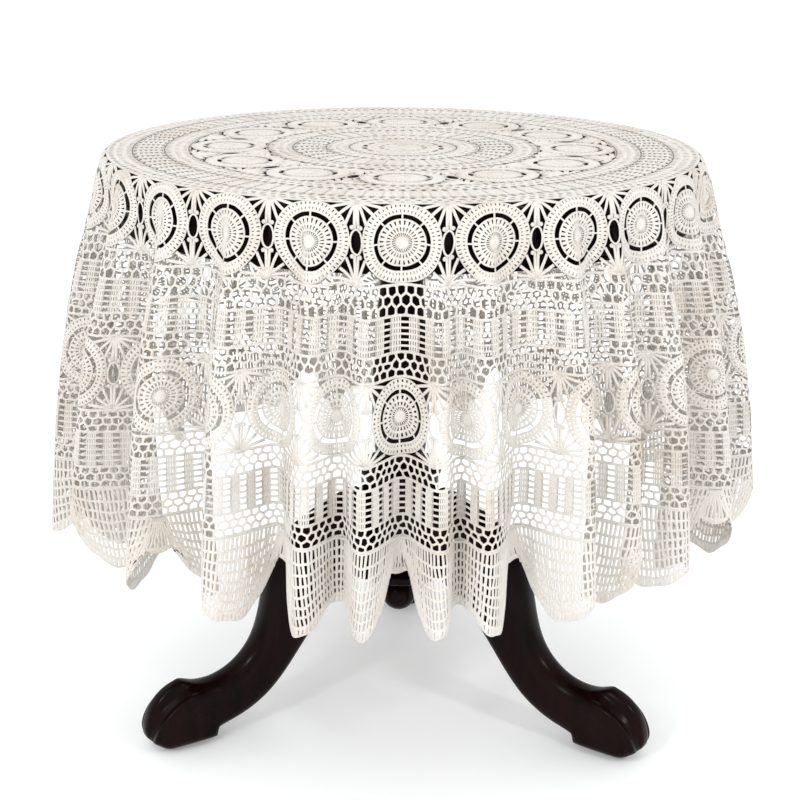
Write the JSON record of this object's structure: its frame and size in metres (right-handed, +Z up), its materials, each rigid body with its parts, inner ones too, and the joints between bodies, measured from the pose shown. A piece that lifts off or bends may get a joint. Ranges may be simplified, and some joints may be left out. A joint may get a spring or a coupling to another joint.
{
  "type": "tablecloth on a table",
  "caption": "Round lace crochet tablecloth draped over a drum-top pedestal table with a turned column and clawed cabriole legs.",
  "frame": {"origin": "on the floor under the centre of the table", "axes": "+Z up, -Y towards the front, +X to the right of someone at the front"},
  "size_m": [0.9181, 0.9172, 0.76],
  "materials": {
    "dark_wood": "near-black red-brown mahogany, polished gloss",
    "inner_wood": "bare, planed",
    "screw_steel": "bright steel",
    "glide": "matt",
    "crochet_cotton": "ivory mercerised cotton, soft sheen"
  },
  "bodies": {
    "table": {"table_top": "dark_wood", "drum_wall": "dark_wood", "drum_bead": "dark_wood", "bearer_front": "inner_wood", "bearer_back": "inner_wood", "bearer_screws": "screw_steel", "glue_blocks": "inner_wood", "top_block": "inner_wood", "block_screws": "screw_steel", "tenon_wedge": "inner_wood", "column_cap": "dark_wood", "column_shaft": "dark_wood", "column_collar": "dark_wood", "leg_hub": "dark_wood", "hub_disc": "dark_wood", "hub_disc_screws": "screw_steel", "pendant_ball": "dark_wood", "pendant_dowel": "inner_wood", "leg_front_left": "dark_wood", "leg_front_right": "dark_wood", "leg_back": "dark_wood", "foot_glides": "glide"},
    "tablecloth": {"centre_rosette": "crochet_cotton", "inner_net": "crochet_cotton", "inner_wheel_ring": "crochet_cotton", "outer_net": "crochet_cotton", "upper_wheel_ring": "crochet_cotton", "upper_filet_band": "crochet_cotton", "lower_wheel_ring": "crochet_cotton", "lower_filet_band": "crochet_cotton", "scalloped_hem": "crochet_cotton"}
  },
  "joints": [
    {"name": "cloth_lift", "type": "slide", "parent": "table", "child": "tablecloth", "axis": [0, 0, 1], "range_m": [0, 0.6]}
  ]
}
